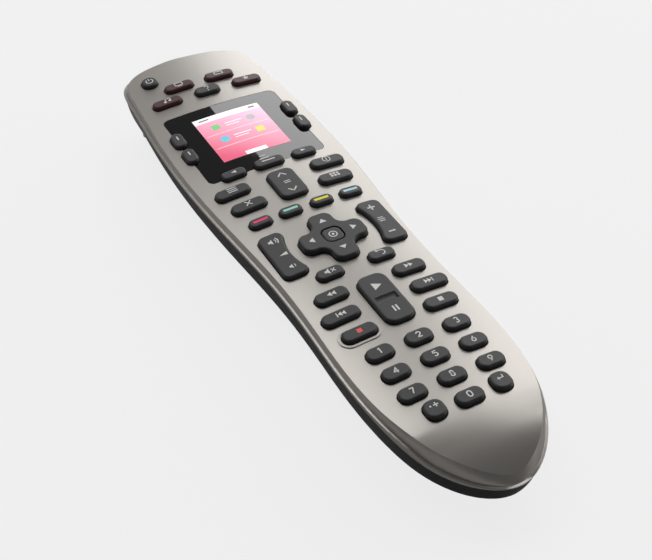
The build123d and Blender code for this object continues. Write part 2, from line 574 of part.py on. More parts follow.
def make_board_and_mat():
    board = slab(BOARD_INSET, BOARD_BOTTOM, BOARD_TOP)
    mat = slab(BOARD_INSET, BOARD_TOP, MAT_TOP)
    drill = Cylinder(TOP_BOSS_RADIUS + SCREW_CLEARANCE, FACE_TOP, align=STAND)
    through = [Pos(x, y, BOARD_BOTTOM - OVERRUN) * drill for x, y in boss_places()]
    board -= through
    mat -= through
    pits = []
    pit = Cylinder(PLUNGER_WIDTH / 2 + PLUNGER_GAP, 2 * OVERRUN, align=STAND)
    centres = key_centres()
    for name, spots in plunger_places().items():
        cx, cy = centres[name]
        for px, py in spots:
            pits.append(Pos(cx + px, cy + py, BOARD_TOP - OVERRUN) * pit)
    mat -= pits
    lcd = extrude(key_plan(WINDOW_WIDTH, WINDOW_DEPTH, 0.0, LENS_CORNER), amount=2 * OVERRUN)
    mat -= Pos(0, WINDOW_Y, BOARD_TOP - OVERRUN) * lcd
    save(mat, "keypad_mat")
    save(board_parts(board), "circuit_board")


def board_parts(board):
    """Board with its chip, crystal, capacitor and infra-red emitters as separate soldered solids."""
    under = (Align.CENTER, Align.CENTER, Align.MAX)
    chip = Box(CHIP_SIZE, CHIP_SIZE, CHIP_THICK, align=under)
    memory = Pos(MEMORY_X, MEMORY_Y) * Box(MEMORY_WIDTH, MEMORY_DEPTH, MEMORY_THICK, align=under)
    crystal = Pos(CRYSTAL_X, CRYSTAL_Y) * Box(CRYSTAL_WIDTH, CRYSTAL_DEPTH, CRYSTAL_THICK, align=under)
    capacitor = Pos(CAPACITOR_X, CAPACITOR_Y) * Cylinder(CAPACITOR_RADIUS, CAPACITOR_HEIGHT, align=under)
    soldered = (chip, memory, crystal, capacitor)
    parts = [board] + [Pos(0, WINDOW_Y, BOARD_BOTTOM) * part for part in soldered]
    led_y = HALF_LENGTH - HULL_INSET - 2 * BACK_WALL - LIP_WIDTH
    for i in (-1, 0, 1):
        led = Rot(90, 0, 0) * Cylinder(IR_LED_RADIUS, IR_LED_LENGTH, align=STAND)
        spot = Pos(IR_X + i * IR_LED_PITCH, led_y, BOARD_BOTTOM - IR_LED_RADIUS)
        parts.append(spot * led)
    return Compound(children=parts)


def make_lcd():
    width = WINDOW_WIDTH - 2 * LCD_GAP
    depth = WINDOW_DEPTH - 2 * LCD_GAP
    top = min(face_height(width / 2, WINDOW_Y + s * depth / 2) for s in (-1, 1)) - LENS_THICK - LCD_GAP
    frame = extrude(rounded(width, depth, LENS_CORNER), amount=top - LCD_GLASS - BOARD_TOP)
    glass = extrude(rounded(width - 2 * LCD_FRAME, depth - 2 * LCD_FRAME, LENS_CORNER - LCD_FRAME),
                    amount=LCD_GLASS)
    frame = Pos(0, WINDOW_Y, BOARD_TOP) * frame
    glass = Pos(0, WINDOW_Y, top - LCD_GLASS) * glass
    glass = chamfer(glass.faces().sort_by(Axis.Z)[-1].edges(), LCD_BEVEL)
    save(Compound(children=[frame, glass]), "lcd_module")


def make_batteries():
    cells = []
    for side in (-1, 1):
        can = Cylinder(BATTERY_RADIUS, BATTERY_LENGTH - BATTERY_NUB)
        can = fillet(can.edges(), BATTERY_ROUND)
        nub = Cylinder(BATTERY_NUB_RADIUS, BATTERY_NUB, align=STAND)
        nub = Pos(0, 0, (BATTERY_LENGTH - BATTERY_NUB) / 2) * nub
        cell = Rot(-90 * side, 0, 0) * (can + nub)
        shift = -side * BATTERY_NUB / 2
        cells.append(Pos(side * BATTERY_SPACING / 2, BAY_Y + shift, BATTERY_Z) * cell)
    save(Compound(children=cells), "batteries")


def make_contacts():
    """Plate at each end of each cell, with a button towards the cell."""
    pieces = []
    end = BAY_LENGTH / 2
    room = (BAY_LENGTH - BATTERY_LENGTH) / 2
    for cell in (-1, 1):
        for way in (-1, 1):
            x = cell * BATTERY_SPACING / 2
            plate = Box(CONTACT_WIDTH, CONTACT_THICK, CONTACT_HEIGHT)
            plate = Pos(x, BAY_Y + way * (end - CONTACT_THICK / 2 - FIT), BATTERY_Z) * plate
            reach = room - CONTACT_THICK - CONTACT_GAP
            tip = BATTERY_NUB_RADIUS * CONTACT_TIP_SHARE
            button = Rot(way * 90, 0, 0) * Cone(BATTERY_NUB_RADIUS, tip, reach)
            y = BAY_Y + way * (end - CONTACT_THICK - reach / 2)
            pieces.append(plate + Pos(x, y, BATTERY_Z) * button)
    save(Compound(children=pieces), "battery_contacts")


def make_screws():
    """Cross-head screws, seated in the back's bosses and biting into the silver shell's."""
    head = Cylinder(SCREW_HEAD_RADIUS, SCREW_HEAD_HEIGHT, align=(Align.CENTER, Align.CENTER, Align.MAX))
    shank = Cylinder(SCREW_RADIUS, BOARD_BOTTOM + SCREW_BITE - 2 * FIT - SCREW_SEAT, align=STAND)
    slot = Box(SCREW_SLOT_LENGTH, SCREW_SLOT_WIDTH, SCREW_HEAD_HEIGHT)
    slot += Rot(0, 0, 90) * slot
    screw = head + shank - Pos(0, 0, -SCREW_HEAD_HEIGHT) * slot
    screws = [Pos(x, y, SCREW_SEAT - FIT) * screw for x, y in boss_places()]
    save(Compound(children=screws), "case_screws")


make_top_shell()
make_lens()
make_press_keys()
make_rockers()
make_pad()
back, hull_outer, hull_inner = make_back()
save(back, "bottom_shell")
make_door(hull_outer)
make_ir_window(hull_outer, hull_inner)
make_socket(hull_outer)
make_board_and_mat()
make_lcd()
make_batteries()
make_contacts()
make_screws()
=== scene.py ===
import json
import math

import bpy
import bmesh
from mathutils import Matrix, Vector


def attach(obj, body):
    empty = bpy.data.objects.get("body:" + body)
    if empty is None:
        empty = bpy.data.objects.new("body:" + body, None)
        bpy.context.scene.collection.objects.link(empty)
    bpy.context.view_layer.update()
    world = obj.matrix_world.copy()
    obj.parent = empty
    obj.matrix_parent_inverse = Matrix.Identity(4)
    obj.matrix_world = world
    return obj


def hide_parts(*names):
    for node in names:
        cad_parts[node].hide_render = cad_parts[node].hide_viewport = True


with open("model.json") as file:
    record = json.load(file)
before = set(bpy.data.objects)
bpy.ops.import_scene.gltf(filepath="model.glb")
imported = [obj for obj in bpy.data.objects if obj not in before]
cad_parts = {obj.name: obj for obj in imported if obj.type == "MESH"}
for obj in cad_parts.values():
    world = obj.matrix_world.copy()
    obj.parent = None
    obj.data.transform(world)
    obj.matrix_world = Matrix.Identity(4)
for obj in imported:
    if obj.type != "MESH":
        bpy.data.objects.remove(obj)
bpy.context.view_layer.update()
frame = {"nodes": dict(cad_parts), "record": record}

nodes = frame["nodes"]
body_of_node = {n: b for b, names in frame["record"]["behaviour"]["bodies"].items() for n in names}

MM = 0.001
WHITE = (1.0, 1.0, 1.0)

# Materials


def material(name, color, roughness=0.5, metallic=0.0, coat=0.0, coat_roughness=0.1, specular=0.5):
    mat = bpy.data.materials.new(name)
    mat.use_nodes = True
    shader = mat.node_tree.nodes["Principled BSDF"]
    shader.inputs["Base Color"].default_value = (*color, 1.0)
    shader.inputs["Roughness"].default_value = roughness
    shader.inputs["Metallic"].default_value = metallic
    shader.inputs["Coat Weight"].default_value = coat
    shader.inputs["Coat Roughness"].default_value = coat_roughness
    shader.inputs["Specular IOR Level"].default_value = specular
    return mat


def grain(mat, scale, strength, distance):
    """Fine bumps from a procedural noise."""
    tree = mat.node_tree
    place = tree.nodes.new("ShaderNodeTexCoord")
    noise = tree.nodes.new("ShaderNodeTexNoise")
    noise.inputs["Scale"].default_value = scale
    noise.inputs["Detail"].default_value = 3.0
    bump = tree.nodes.new("ShaderNodeBump")
    bump.inputs["Strength"].default_value = strength
    bump.inputs["Distance"].default_value = distance
    tree.links.new(place.outputs["Object"], noise.inputs["Vector"])
    tree.links.new(noise.outputs["Fac"], bump.inputs["Height"])
    tree.links.new(bump.outputs["Normal"], tree.nodes["Principled BSDF"].inputs["Normal"])
    return mat


def mottled(mat, low, high, scale):
    """Base colour that wanders between two near tones."""
    tree = mat.node_tree
    place = tree.nodes.new("ShaderNodeTexCoord")
    noise = tree.nodes.new("ShaderNodeTexNoise")
    noise.inputs["Scale"].default_value = scale
    ramp = tree.nodes.new("ShaderNodeValToRGB")
    ramp.color_ramp.elements[0].color = (*low, 1.0)
    ramp.color_ramp.elements[1].color = (*high, 1.0)
    tree.links.new(place.outputs["Object"], noise.inputs["Vector"])
    tree.links.new(noise.outputs["Fac"], ramp.inputs["Fac"])
    tree.links.new(ramp.outputs["Color"], tree.nodes["Principled BSDF"].inputs["Base Color"])
    return mat


# Colour, roughness and metallic of each finish; grain as its scale, its strength and its depth in metres
silver = grain(material("silver paint", (0.46, 0.435, 0.405), 0.30, 0.75), 9000, 0.05, 0.00002)
black = grain(material("black plastic", (0.012, 0.012, 0.013), 0.38), 6000, 0.12, 0.00003)
key_dark = grain(material("dark key", (0.030, 0.030, 0.031), 0.42), 7000, 0.08, 0.00002)
burgundy = grain(material("burgundy key", (0.065, 0.014, 0.020), 0.40), 7000, 0.08, 0.00002)
lens_mat = material("gloss lens", (0.006, 0.006, 0.007), 0.05, coat=1.0, coat_roughness=0.02)
ink = material("white ink", (0.80, 0.80, 0.78), 0.55)
pcb = mottled(material("solder mask", (0.02, 0.12, 0.05), 0.35), (0.015, 0.10, 0.04), (0.03, 0.15, 0.06), 60)
silicone = material("silicone", (0.45, 0.45, 0.43), 0.6)
steel = grain(material("plated steel", (0.60, 0.60, 0.60), 0.28, 1.0), 3000, 0.05, 0.00002)
sleeve = material("cell sleeve", (0.03, 0.03, 0.035), 0.3, 0.4)
can = mottled(sleeve, (0.02, 0.02, 0.024), (0.05, 0.05, 0.055), 40)
ir_mat = material("infra-red window", (0.02, 0.002, 0.004), 0.08, coat=0.6)
bezel = material("display frame", (0.25, 0.25, 0.26), 0.5)


def glow(name, color, strength=1.0):
    """Lit picture colour under the lens."""
    mat = bpy.data.materials.new(name)
    mat.use_nodes = True
    shader = mat.node_tree.nodes["Principled BSDF"]
    shader.inputs["Base Color"].default_value = (color[0] * 0.5, color[1] * 0.5, color[2] * 0.5, 1.0)
    shader.inputs["Emission Color"].default_value = (*color, 1.0)
    shader.inputs["Emission Strength"].default_value = strength
    shader.inputs["Roughness"].default_value = 0.25
    return mat


def paint(node, mat):
    obj = nodes[node]
    obj.data.materials.clear()
    obj.data.materials.append(mat)
    for polygon in obj.data.polygons:
        polygon.use_smooth = False


BY_NODE = {
    "top_shell": silver, "bottom_shell": black, "battery_door": black, "screen_lens": lens_mat,
    "lcd_module": bezel, "circuit_board": pcb, "keypad_mat": silicone, "ir_window": ir_mat,
    "usb_socket": steel, "batteries": can, "battery_contacts": steel, "case_screws": steel,
    "pad_pivot_ring": black,
}
for name in nodes:
    if name in BY_NODE:
        paint(name, BY_NODE[name])
    elif name.startswith("activity"):
        paint(name, burgundy)
    else:
        paint(name, key_dark)

# Near end: the seam dips towards the tip and the silver face rolls down to meet it. The shells, the board
# and the mat are replaced by copies of their own meshes, drawn down there in height only. Values are in mm.
DIP_START, TIP = -65.0, -120.0
DIP, DIP_POWER = 5.6, 1.4
ROLL_START, ROLL_REACH, ROLL_DROP = -89.0, 31.0, 12.6
SEAM, WALL_LOW, FACE_TOP = 20.8, 22.9, 25.5  # seam, foot of the face's edge, and top of the face
FREE_START, FREE_END = -97.0, -104.0  # where the wall lets go of the face's roll
SILVER_LEAST = 1.0  # height of silver that stays over the seam
WELD = 1e-6  # metres between points that are one
SLICE_SLACK = 1e-7  # metres by which a point may miss a cutting plane


def seam_dip(y):
    share = min(1.0, max(0.0, (DIP_START - y) / (DIP_START - TIP)))
    return DIP * (share * share * (3 - 2 * share)) ** DIP_POWER


def face_roll(y):
    share = min(1.0, max(0.0, (ROLL_START - y) / ROLL_REACH))
    return ROLL_DROP * (1 - math.sqrt(1 - share * share))


def drawn_down(y, z):
    """New height of a point of the case's near end."""
    seam = SEAM - seam_dip(y)
    top = max(FACE_TOP - face_roll(y), seam + SILVER_LEAST)
    share = (WALL_LOW - SEAM) / (FACE_TOP - SEAM)
    free = min(1.0, max(0.0, (FREE_START - y) / (FREE_START - FREE_END)))
    wall = (1 - free) * (WALL_LOW - face_roll(y)) + free * (seam + share * (top - seam))
    if z <= SEAM:
        return z * seam / SEAM
    if z <= WALL_LOW:
        return seam + (z - SEAM) / (WALL_LOW - SEAM) * (wall - seam)
    return wall + (z - WALL_LOW) / (FACE_TOP - WALL_LOW) * (top - wall)


def lowest_y(item):
    """Lowest y of a vertex, an edge or a face."""
    return item.co.y if isinstance(item, bmesh.types.BMVert) else min(vert.co.y for vert in item.verts)


def near_end_copy(node, mat, sharp=35.0, step=1.0):
    """Copy of a node's mesh with its near end drawn down, in place of the node.

    Edges bent by sharp degrees or more stay crisp; the mesh is first cut every step mm to bend evenly.
    """
    mesh_data = bmesh.new()
    mesh_data.from_mesh(nodes[node].data)
    bmesh.ops.remove_doubles(mesh_data, verts=mesh_data.verts, dist=WELD)
    near = mesh_data.verts[:] + mesh_data.edges[:] + mesh_data.faces[:]
    for i in range(int((DIP_START - TIP) / step)):
        y = (DIP_START - i * step) * MM
        cut = bmesh.ops.bisect_plane(
            mesh_data, geom=near, plane_co=(0, y, 0), plane_no=(0, 1, 0), dist=SLICE_SLACK)
        near = [item for item in cut["geom"] if lowest_y(item) < y - SLICE_SLACK]
    for vert in mesh_data.verts:
        if vert.co.y < DIP_START * MM:
            vert.co.z = drawn_down(vert.co.y / MM, vert.co.z / MM) * MM
    for edge in mesh_data.edges:
        edge.smooth = len(edge.link_faces) == 2 and edge.calc_face_angle(0.0) < math.radians(sharp)
    for face in mesh_data.faces:
        face.smooth = True
    mesh = bpy.data.meshes.new(f"{node}_drawn")
    mesh_data.to_mesh(mesh)
    mesh_data.free()
    mesh.materials.clear()
    mesh.materials.append(mat)
    obj = bpy.data.objects.new(f"{node}_drawn", mesh)
    bpy.context.scene.collection.objects.link(obj)
    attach(obj, body_of_node[node])
    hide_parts(node)
    return obj


for node in ("top_shell", "bottom_shell", "circuit_board", "keypad_mat"):
    near_end_copy(node, BY_NODE[node])

# Face and key tops, as the solids have them, in mm. The crown is an arc over the case's width.
CASE_HALF, CROWN_FALL = 31.1, 1.85
CROWN_RADIUS = (CASE_HALF ** 2 + CROWN_FALL ** 2) / (2 * CROWN_FALL)
KEY_RISE = 1.6
PAD_LIFT, OK_LIFT = 0.4, 0.35  # how far the pad and its middle key stand over the other keys
LENS_SINK = 0.04  # lens under the face
LIFT = 0.02  # ink over what it is printed on


def face_height(x):
    return FACE_TOP - CROWN_RADIUS + math.sqrt(CROWN_RADIUS ** 2 - x * x)


def slope(x):
    return x / math.sqrt(CROWN_RADIUS ** 2 - x * x)


def key_height(cx, x, rise=KEY_RISE):
    """Height of a key's flat tilted top at x, for a key centred at cx."""
    return face_height(cx) + rise - slope(cx) * (x - cx)


def lens_height(x):
    return face_height(x) - LENS_SINK


def add_mesh(name, verts, faces, mat, body):
    name = name.replace(" ", "_")
    mesh = bpy.data.meshes.new(name)
    mesh.from_pydata([(x * MM, y * MM, z * MM) for x, y, z in verts], [], faces)
    mesh.update()
    obj = bpy.data.objects.new(name, mesh)
    bpy.context.scene.collection.objects.link(obj)
    mesh.materials.append(mat)
    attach(obj, body)
    return obj


def area(points):
    """Twice the area of an outline, positive when it runs anticlockwise."""
    after = points[1:] + points[:1]
    return sum(a[0] * b[1] - b[0] * a[1] for a, b in zip(points, after))


class Ink:
    """Flat marks gathered into one mesh on a key's tilted top or on the crowned face."""

    def __init__(self, name, body, height, mat=None):
        self.name, self.body, self.height = name, body, height
        self.verts, self.faces = [], []
        self.mat = mat or ink

    def poly(self, points):
        base = len(self.verts)
        self.verts += [(x, y, self.height(x) + LIFT) for x, y in points]
        self.faces.append(list(range(base, base + len(points))))

    def bar(self, x, y, w, h, longest=1.5):
        """Bar in steps across, short enough to follow the crown."""
        count = max(1, math.ceil(w / longest))
        step = w / count
        low_y, high_y = y - h / 2, y + h / 2
        for i in range(count):
            low = x - w / 2 + i * step
            self.poly([(low, low_y), (low + step, low_y), (low + step, high_y), (low, high_y)])

    def line(self, points, width):
        """Stroke of one width: one quad per stretch, with a disc over each bend."""
        for (ax, ay), (bx, by) in zip(points, points[1:]):
            dx, dy = bx - ax, by - ay
            length = math.hypot(dx, dy)
            nx, ny = -dy / length * width / 2, dx / length * width / 2
            self.poly([(ax - nx, ay - ny), (bx - nx, by - ny), (bx + nx, by + ny), (ax + nx, ay + ny)])
        for px, py in points[1:-1]:
            self.disc(px, py, width / 2, 10)

    def disc(self, x, y, r, steps=20):
        turns = [2 * math.pi * i / steps for i in range(steps)]
        self.poly([(x + r * math.cos(turn), y + r * math.sin(turn)) for turn in turns])

    def arc(self, x, y, r, start, end, width, steps=22):
        """Stroke round (x, y) from one angle to another, in degrees."""
        turns = [math.radians(start + (end - start) * i / steps) for i in range(steps + 1)]
        near, far = r - width / 2, r + width / 2
        for turn, after in zip(turns, turns[1:]):
            ux, uy = math.cos(turn), math.sin(turn)
            vx, vy = math.cos(after), math.sin(after)
            self.poly([(x + near * ux, y + near * uy), (x + far * ux, y + far * uy),
                       (x + far * vx, y + far * vy), (x + near * vx, y + near * vy)])

    def done(self):
        """The mesh, with every face turned up."""
        faces = [f if area([self.verts[i] for i in f]) > 0 else f[::-1] for f in self.faces]
        return add_mesh(self.name, self.verts, faces, self.mat, self.body)


# Shapes that several marks share. way is 1 towards +X or +Y and -1 the other way.


def triangle(mark, x, y, w, h, way=1):
    mark.poly([(x - way * w / 2, y - h / 2), (x + way * w / 2, y), (x - way * w / 2, y + h / 2)])


def up_triangle(mark, x, y, w, h, way=1):
    mark.poly([(x - w / 2, y - way * h / 2), (x + w / 2, y - way * h / 2), (x, y + way * h / 2)])


def speaker(mark, x, y, size):
    """Loudspeaker that faces +X."""
    mark.bar(x - size * 0.85, y, size * 0.5, size * 0.8)
    mark.poly([(x - size * 0.6, y - size * 0.4), (x + size * 0.15, y - size), (x + size * 0.15, y + size),
               (x - size * 0.6, y + size * 0.4)])


def star(mark, x, y, tip, waist, spikes=5):
    """Star of kites; tip and waist are how far its points and its hollows reach across and along."""
    for i in range(spikes):
        turn, half = 2 * math.pi * i / spikes, math.pi / spikes
        corners = ((tip, turn), (waist, turn + half), (None, turn), (waist, turn - half))
        mark.poly([(x + reach[0] * math.sin(a), y + reach[1] * math.cos(a)) if reach else (x, y)
                   for reach, a in corners])


# Digits as strokes in a cell 1 wide and 1.6 high, centred on zero
DIGITS = {
    "0": [("arc", 0, 0.3, 0.5, 0, 180), ("arc", 0, -0.3, 0.5, 180, 360), ("line", (-0.5, 0.3), (-0.5, -0.3)),
          ("line", (0.5, 0.3), (0.5, -0.3))],
    "1": [("line", (-0.3, 0.5), (0.08, 0.8), (0.08, -0.8))],
    "2": [("arc", 0, 0.3, 0.5, 170, -20), ("line", (0.46, 0.12), (-0.5, -0.76), (0.55, -0.76))],
    "3": [("arc", 0, 0.38, 0.42, 155, -90), ("arc", 0, -0.36, 0.44, 90, -150)],
    "4": [("line", (0.25, -0.8), (0.25, 0.8), (-0.55, -0.3), (0.6, -0.3))],
    "5": [("line", (0.45, 0.76), (-0.38, 0.76), (-0.44, 0.1)), ("arc", -0.02, -0.28, 0.5, 130, -145)],
    "6": [("arc", 0, -0.3, 0.48, 0, 360), ("line", (0.25, 0.8), (-0.42, -0.06))],
    "7": [("line", (-0.5, 0.76), (0.5, 0.76), (-0.15, -0.8))],
    "8": [("arc", 0, 0.4, 0.38, 0, 360), ("arc", 0, -0.36, 0.44, 0, 360)],
    "9": [("arc", 0, 0.3, 0.48, 0, 360), ("line", (-0.25, -0.8), (0.42, 0.06))],
}


def digit(mark, x, y, text, size, width):
    for kind, *rest in DIGITS[text]:
        if kind == "arc":
            ax, ay, r, a, b = rest
            mark.arc(x + ax * size, y + ay * size, r * size, a, b, width)
        else:
            mark.line([(x + px * size, y + py * size) for px, py in rest], width)


SHAPES = {
    "bar": Ink.bar, "disc": Ink.disc, "arc": Ink.arc, "triangle": triangle, "up": up_triangle,
    "speaker": speaker, "star": star, "digit": digit,
}


def draw(mark, x, y, strokes):
    """Strokes that give their places in mm from (x, y); a line gives its width first."""
    for kind, *rest in strokes:
        if kind == "line":
            mark.line([(x + dx, y + dy) for dx, dy in rest[1:]], rest[0])
        elif kind == "poly":
            mark.poly([(x + dx, y + dy) for dx, dy in rest])
        else:
            dx, dy, *sizes = rest
            SHAPES[kind](mark, x + dx, y + dy, *sizes)


def print_key(node, x, y, strokes, mat=None, rise=KEY_RISE):
    """Marks on a key centred at x."""
    mark = Ink(f"{node} mark", body_of_node[node], lambda at: key_height(x, at, rise), mat)
    draw(mark, x, y, strokes)
    mark.done()


# Digit keys, in rows of three with the zero under the eight
DIGIT_PITCH_X, DIGIT_PITCH_Y, DIGIT_FIRST_Y = 13.75, 9.25, -64.8
DIGIT_SIZE, DIGIT_STROKE, DIGIT_UP = 1.35, 0.42, 0.2
for number in (*range(1, 10), 0):
    row, column = divmod(number - 1, 3) if number else (3, 1)
    x, y = (column - 1) * DIGIT_PITCH_X, DIGIT_FIRST_Y - row * DIGIT_PITCH_Y
    strokes = [("digit", 0, DIGIT_UP, str(number), DIGIT_SIZE, DIGIT_STROKE)]
    print_key(f"digit_{number}_key", x, y, strokes)


def fast_arrows(way):
    return [("triangle", step, 0, 1.5, 1.9, way) for step in (-0.75, 0.75)]


def skip_arrows(way):
    """Two triangles against a bar."""
    return [("triangle", -way * 1.0, 0, 1.4, 1.9, way), ("triangle", way * 0.3, 0, 1.4, 1.9, way),
            ("bar", way * 1.3, 0, 0.35, 1.9)]


SCREEN_DASH = [("bar", 0, 0.9, 0.5, 2.2)]
COLOUR_BAR = [("bar", 0, 0, 5.4, 1.1)]

# Each key's marks: the key's x, the y that the marks are placed from, and the strokes
MARKS = [
    ("power_key", -17.4, 105.6, [("arc", 0, 0, 1.35, 125, 415, 0.36), ("bar", 0, 0.95, 0.36, 1.5)]),
    # Activities: a screen on its foot, a flat frame, two notes and a star
    ("activity_key_inner_left", -8.5, 97.5, [
        ("line", 0.36, (-1.5, -0.7), (1.5, -0.7), (1.5, 1.1), (-1.5, 1.1), (-1.5, -0.7)),
        ("bar", 0, -1.25, 1.8, 0.36)]),
    ("activity_key_inner_right", 8.5, 97.5, [
        ("line", 0.42, (-1.7, -0.7), (1.7, -0.7), (1.7, 0.8), (-1.7, 0.8), (-1.7, -0.7))]),
    ("activity_key_outer_left", -16.7, 89.8, [
        ("disc", -1.0, -0.7, 0.55), ("disc", 1.0, -0.4, 0.55),
        ("line", 0.34, (-0.6, -0.7), (-0.6, 0.9), (1.4, 1.2), (1.4, -0.4))]),
    ("activity_key_outer_right", 16.7, 89.8, [("star", 0, 0, (1.5, 1.35), (0.62, 0.58))]),
    ("help_key", 0, 90.3, [
        ("arc", 0, 0, 0.75, 160, -60, 0.36), ("line", 0.36, (0.3, -0.68), (0.0, -1.0), (0.0, -1.5)),
        ("disc", 0, -2.2, 0.26)]),
    # One dash on each key beside the screen, then the row under it
    ("screen_key_upper_left", -22.9, 64.9, SCREEN_DASH),
    ("screen_key_lower_left", -22.9, 54.3, SCREEN_DASH),
    ("screen_key_upper_right", 22.9, 64.9, SCREEN_DASH),
    ("screen_key_lower_right", 22.9, 54.3, SCREEN_DASH),
    ("arrow_key_left", -14.0, 36.55, [("triangle", 0, 0, 1.9, 1.4, -1)]),
    ("arrow_key_right", 14.0, 36.55, [("triangle", 0, 0, 1.9, 1.4, 1)]),
    ("bars_key", 0, 36.75, [("bar", 0, 0, 5.2, 0.55)]),
    ("menu_key", -18.75, 27.9, [("bar", 0, step * 0.95, 3.6, 0.38) for step in (-1, 0, 1)]),
    ("exit_key", -17.0, 18.4, [
        ("line", 0.4, (-1.1, -1.1), (1.1, 1.1)), ("line", 0.4, (-1.1, 1.1), (1.1, -1.1))]),
    ("info_key", 18.75, 27.9, [
        ("arc", 0, 0, 1.45, 0, 360, 0.3), ("bar", 0, -0.25, 0.4, 1.1), ("disc", 0, 0.75, 0.24)]),
    ("guide_key", 17.0, 18.4, [
        ("bar", (i - 1) * 1.3, (j - 0.5) * 1.2, 1.0, 0.85) for i in range(3) for j in range(2)]),
    ("page_rocker", 0, 22.2, [
        ("line", 0.5, (-1.6, 3.7), (0.0, 5.4), (1.6, 3.7)),
        ("line", 0.5, (-1.6, -3.9), (0.0, -5.6), (1.6, -3.9)),
        ("bar", 0, 0.4, 2.4, 0.35), ("bar", 0, -0.5, 2.4, 0.35)]),
    ("red_key", -17.5, 8.15, COLOUR_BAR, material("red_key ink", (1.0, 0.03, 0.18), 0.5)),
    ("green_key", -6.0, 8.15, COLOUR_BAR, material("green_key ink", (0.38, 0.83, 0.70), 0.5)),
    ("yellow_key", 6.0, 8.15, COLOUR_BAR, material("yellow_key ink", (1.0, 0.90, 0.03), 0.5)),
    ("blue_key", 17.5, 8.15, COLOUR_BAR, material("blue_key ink", (0.54, 0.89, 0.95), 0.5)),
    # Volume: a loud speaker, a wedge and a quiet speaker. Channel: plus, three bars and minus.
    ("volume_rocker", -18.8, -10.9, [
        ("speaker", -0.5, 7.0, 1.25), ("arc", -0.3, 7.0, 1.15, -45, 45, 0.35),
        ("arc", -0.3, 7.0, 1.95, -45, 45, 0.35), ("poly", (-1.5, -0.4), (1.5, -1.0), (1.5, 0.6)),
        ("speaker", 0, -6.8, 1.0), ("arc", 0.1, -6.8, 0.95, -40, 40, 0.3)]),
    ("channel_rocker", 18.8, -10.9, [
        ("bar", 0, 7.0, 2.9, 0.62), ("bar", 0, 7.0, 0.62, 2.9), ("bar", 0, -7.1, 2.6, 0.62),
        ("bar", 0, -1.05, 2.1, 0.36), ("bar", 0, -0.1, 2.6, 0.36), ("bar", 0, 0.85, 2.1, 0.36)]),
    ("direction_pad", 0, -11.0, [
        ("up", 0, 7.8, 2.7, 1.9), ("up", 0, -7.4, 2.7, 1.7, -1), ("triangle", 8.0, 0.2, 1.9, 2.6),
        ("triangle", -8.0, 0.2, 1.9, 2.6, -1)], None, KEY_RISE + PAD_LIFT),
    ("ok_key", 0, -11.0, [("arc", 0, 0, 1.35, 0, 360, 0.38), ("disc", 0, 0, 0.5)], None, KEY_RISE + OK_LIFT),
    ("mute_key", -9.6, -26.1, [
        ("poly", (-1.9, -0.5), (-1.1, -0.5), (-0.2, -1.3), (-0.2, 1.3), (-1.1, 0.5), (-1.9, 0.5)),
        ("line", 0.32, (0.5, -0.7), (1.9, 0.7)), ("line", 0.32, (0.5, 0.7), (1.9, -0.7))]),
    ("back_key", 9.6, -26.1, [
        ("arc", 0.3, 0, 1.05, -110, 110, 0.36), ("line", 0.36, (0, 1.05), (-1.4, 1.05)),
        ("triangle", -1.5, 1.05, 0.9, 1.3, -1)]),
    ("rewind_key", -14.35, -35.6, fast_arrows(-1)),
    ("forward_key", 14.35, -35.6, fast_arrows(1)),
    ("skip_back_key", -16.2, -44.9, skip_arrows(-1)),
    ("skip_forward_key", 16.2, -44.9, skip_arrows(1)),
    ("record_key", -14.75, -54.1, [("bar", 0, 0, 1.7, 1.7)], material("record ink", (1.0, 0.11, 0.11), 0.5)),
    ("stop_key", 14.75, -54.1, [("bar", 0, 0, 1.8, 1.8)]),
    ("play_rocker", 0, -45.1, [
        ("triangle", 0.1, 5.5, 3.1, 3.4), ("bar", -0.6, -6.1, 0.6, 2.6), ("bar", 0.6, -6.1, 0.6, 2.6)]),
    ("clear_key", -11.5, -90.9, [
        ("disc", -1.1, 0, 0.32), ("bar", 0.7, 0, 1.7, 0.42), ("bar", 0.7, 0, 0.42, 1.7)]),
    ("enter_key", 11.5, -90.9, [
        ("line", 0.38, (1.0, 0.7), (1.0, -0.4), (-0.8, -0.4)), ("triangle", -0.8, -0.4, 0.8, 1.3, -1)]),
]
for row in MARKS:
    print_key(*row)

# Picture on the screen, seen through the lens. The strips follow the lens' own surface.
SCREEN_Y, SCREEN_WIDTH, SCREEN_LENGTH = 59.55, 27.2, 28.7
HEADER_LENGTH = 3.2
STRIPS = 12
MARK_LIFT, TILE_LIFT = 0.02, 0.03  # dividers and tiles over the picture


def picture_panel(name, low_y, high_y, mat):
    verts, faces = [], []
    for i in range(STRIPS + 1):
        x = SCREEN_WIDTH * (i / STRIPS - 1 / 2)
        verts += [(x, y, lens_height(x) + LIFT) for y in (low_y, high_y)]
    for first in range(0, 2 * STRIPS, 2):
        faces.append([first, first + 2, first + 3, first + 1])
    return add_mesh(name, verts, faces, mat, "case")


WASH_ACROSS, WASH_ALONG, WASH_START = 14.0, 26.0, -1.05  # share of the wash per metre, and its start


